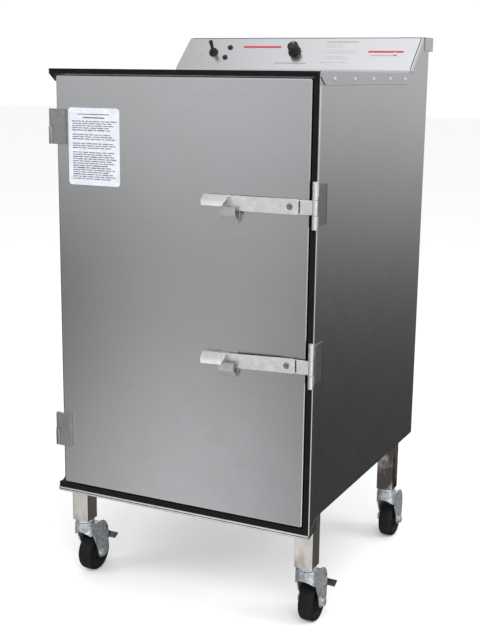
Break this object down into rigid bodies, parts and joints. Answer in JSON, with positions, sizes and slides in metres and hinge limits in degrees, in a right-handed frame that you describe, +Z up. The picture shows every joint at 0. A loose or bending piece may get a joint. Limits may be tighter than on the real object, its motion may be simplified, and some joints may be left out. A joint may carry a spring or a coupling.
{
  "type": "heated holding cabinet",
  "caption": "Insulated stainless cabinet on casters, one door with lift-and-swing strap latches, sloped control panel at the rear of the roof, wire shelves and water pan inside.",
  "frame": {"origin": "on the floor, at the centre of the cabinet's overall footprint", "axes": "+Z up, -Y towards the door side, +X towards the latch side"},
  "size_m": [0.6262, 0.735, 1.2335],
  "materials": {
    "brushed_stainless": "satin",
    "polished_stainless": "polished",
    "zinc_plate": "satin",
    "black_seal": "matte",
    "black_tyre": "matte",
    "mineral_wool": "matte",
    "black_plastic": "satin",
    "red_lens": "gloss",
    "white_label": "satin",
    "element_steel": "matte"
  },
  "bodies": {
    "cabinet": {"left_side_panel": "brushed_stainless", "right_side_panel": "brushed_stainless", "rear_panel": "brushed_stainless", "roof_panel": "brushed_stainless", "bottom_panel": "brushed_stainless", "front_frame": "brushed_stainless", "sill": "brushed_stainless", "frame_seal": "black_seal", "inner_liner": "brushed_stainless", "wall_insulation": "mineral_wool", "roof_rivets": "polished_stainless", "drain_tube": "brushed_stainless", "right_rack_support": "brushed_stainless", "left_rack_support": "brushed_stainless", "lower_wire_shelf": "brushed_stainless", "middle_wire_shelf": "brushed_stainless", "upper_wire_shelf": "brushed_stainless", "heating_element": "element_steel", "water_pan": "brushed_stainless", "thermostat_bulb": "brushed_stainless", "control_fascia": "polished_stainless", "control_housing": "brushed_stainless", "housing_rear_cap": "brushed_stainless", "fascia_screws": "polished_stainless", "thermostat_body": "black_plastic", "switch_body": "black_plastic", "lamp_bezels": "black_plastic", "lamp_lenses": "red_lens", "terminal_block": "black_plastic", "power_inlet": "black_plastic", "hinge_cabinet_leaves": "polished_stainless", "upper_latch_bracket": "polished_stainless", "lower_latch_bracket": "polished_stainless", "latch_pins": "polished_stainless", "legs": "polished_stainless", "caster_stems": "zinc_plate"},
    "door": {"door_outer_panel": "brushed_stainless", "door_inner_panel": "brushed_stainless", "door_insulation": "mineral_wool", "door_gasket": "black_seal", "door_label": "white_label", "hinge_door_leaves": "polished_stainless", "upper_latch_keeper": "polished_stainless", "lower_latch_keeper": "polished_stainless"},
    "upper_link": {"upper_latch_link": "polished_stainless"},
    "upper_strap": {"upper_latch_strap": "polished_stainless"},
    "lower_link": {"lower_latch_link": "polished_stainless"},
    "lower_strap": {"lower_latch_strap": "polished_stainless"},
    "knob": {"thermostat_knob": "black_plastic"},
    "toggle": {"toggle_lever": "black_plastic"},
    "front_left_swivel": {"front_left_fork": "zinc_plate"},
    "front_left_roller": {"front_left_wheel": "black_tyre"},
    "front_left_brake": {"front_left_brake_pedal": "zinc_plate"},
    "front_right_swivel": {"front_right_fork": "zinc_plate"},
    "front_right_roller": {"front_right_wheel": "black_tyre"},
    "front_right_brake": {"front_right_brake_pedal": "zinc_plate"},
    "rear_left_swivel": {"rear_left_fork": "zinc_plate"},
    "rear_left_roller": {"rear_left_wheel": "black_tyre"},
    "rear_right_swivel": {"rear_right_fork": "zinc_plate"},
    "rear_right_roller": {"rear_right_wheel": "black_tyre"}
  },
  "joints": [
    {"name": "door_hinge", "type": "hinge", "parent": "cabinet", "child": "door", "pos_m": [-0.30465, -0.3375, 0.69], "axis": [0, 0, 1], "range_deg": [-110, 0]},
    {"name": "upper_latch_swing", "type": "hinge", "parent": "cabinet", "child": "upper_link", "pos_m": [0.29935, -0.3435, 0.8985], "axis": [0, 0, 1], "range_deg": [0, 150]},
    {"name": "upper_latch_lift", "type": "hinge", "parent": "upper_link", "child": "upper_strap", "pos_m": [0.24835, -0.3452, 0.8985], "axis": [0, 1, 0], "range_deg": [0, 20]},
    {"name": "lower_latch_swing", "type": "hinge", "parent": "cabinet", "child": "lower_link", "pos_m": [0.29935, -0.3435, 0.5845], "axis": [0, 0, 1], "range_deg": [0, 150]},
    {"name": "lower_latch_lift", "type": "hinge", "parent": "lower_link", "child": "lower_strap", "pos_m": [0.24835, -0.3452, 0.5845], "axis": [0, 1, 0], "range_deg": [0, 20]},
    {"name": "thermostat_turn", "type": "hinge", "parent": "cabinet", "child": "knob", "pos_m": [-0.00665, 0.24974, 1.199], "axis": [0, -0.6885, 0.7252], "range_deg": [-270, 0]},
    {"name": "switch_toggle", "type": "hinge", "parent": "cabinet", "child": "toggle", "pos_m": [-0.22565, 0.2434, 1.19987], "axis": [1, 0, 0], "range_deg": [0, 28]},
    {"name": "front_left_swivel_turn", "type": "hinge", "parent": "cabinet", "child": "front_left_swivel", "pos_m": [-0.28245, -0.2742, 0.12], "axis": [0, 0, 1], "continuous": true},
    {"name": "front_left_wheel_spin", "type": "hinge", "parent": "front_left_swivel", "child": "front_left_roller", "pos_m": [-0.28245, -0.2402, 0.0445], "axis": [1, 0, 0], "continuous": true},
    {"name": "front_left_brake_lift", "type": "hinge", "parent": "front_left_swivel", "child": "front_left_brake", "pos_m": [-0.28245, -0.2222, 0.102], "axis": [1, 0, 0], "range_deg": [0, 15]},
    {"name": "front_right_swivel_turn", "type": "hinge", "parent": "cabinet", "child": "front_right_swivel", "pos_m": [0.27315, -0.2742, 0.12], "axis": [0, 0, 1], "continuous": true},
    {"name": "front_right_wheel_spin", "type": "hinge", "parent": "front_right_swivel", "child": "front_right_roller", "pos_m": [0.27315, -0.2402, 0.0445], "axis": [1, 0, 0], "continuous": true},
    {"name": "front_right_brake_lift", "type": "hinge", "parent": "front_right_swivel", "child": "front_right_brake", "pos_m": [0.27315, -0.2222, 0.102], "axis": [1, 0, 0], "range_deg": [0, 15]},
    {"name": "rear_left_swivel_turn", "type": "hinge", "parent": "cabinet", "child": "rear_left_swivel", "pos_m": [-0.28245, 0.2417, 0.12], "axis": [0, 0, 1], "continuous": true},
    {"name": "rear_left_wheel_spin", "type": "hinge", "parent": "rear_left_swivel", "child": "rear_left_roller", "pos_m": [-0.28245, 0.2757, 0.0445], "axis": [1, 0, 0], "continuous": true},
    {"name": "rear_right_swivel_turn", "type": "hinge", "parent": "cabinet", "child": "rear_right_swivel", "pos_m": [0.27315, 0.2417, 0.12], "axis": [0, 0, 1], "continuous": true},
    {"name": "rear_right_wheel_spin", "type": "hinge", "parent": "rear_right_swivel", "child": "rear_right_roller", "pos_m": [0.27315, 0.2757, 0.0445], "axis": [1, 0, 0], "continuous": true}
  ]
}
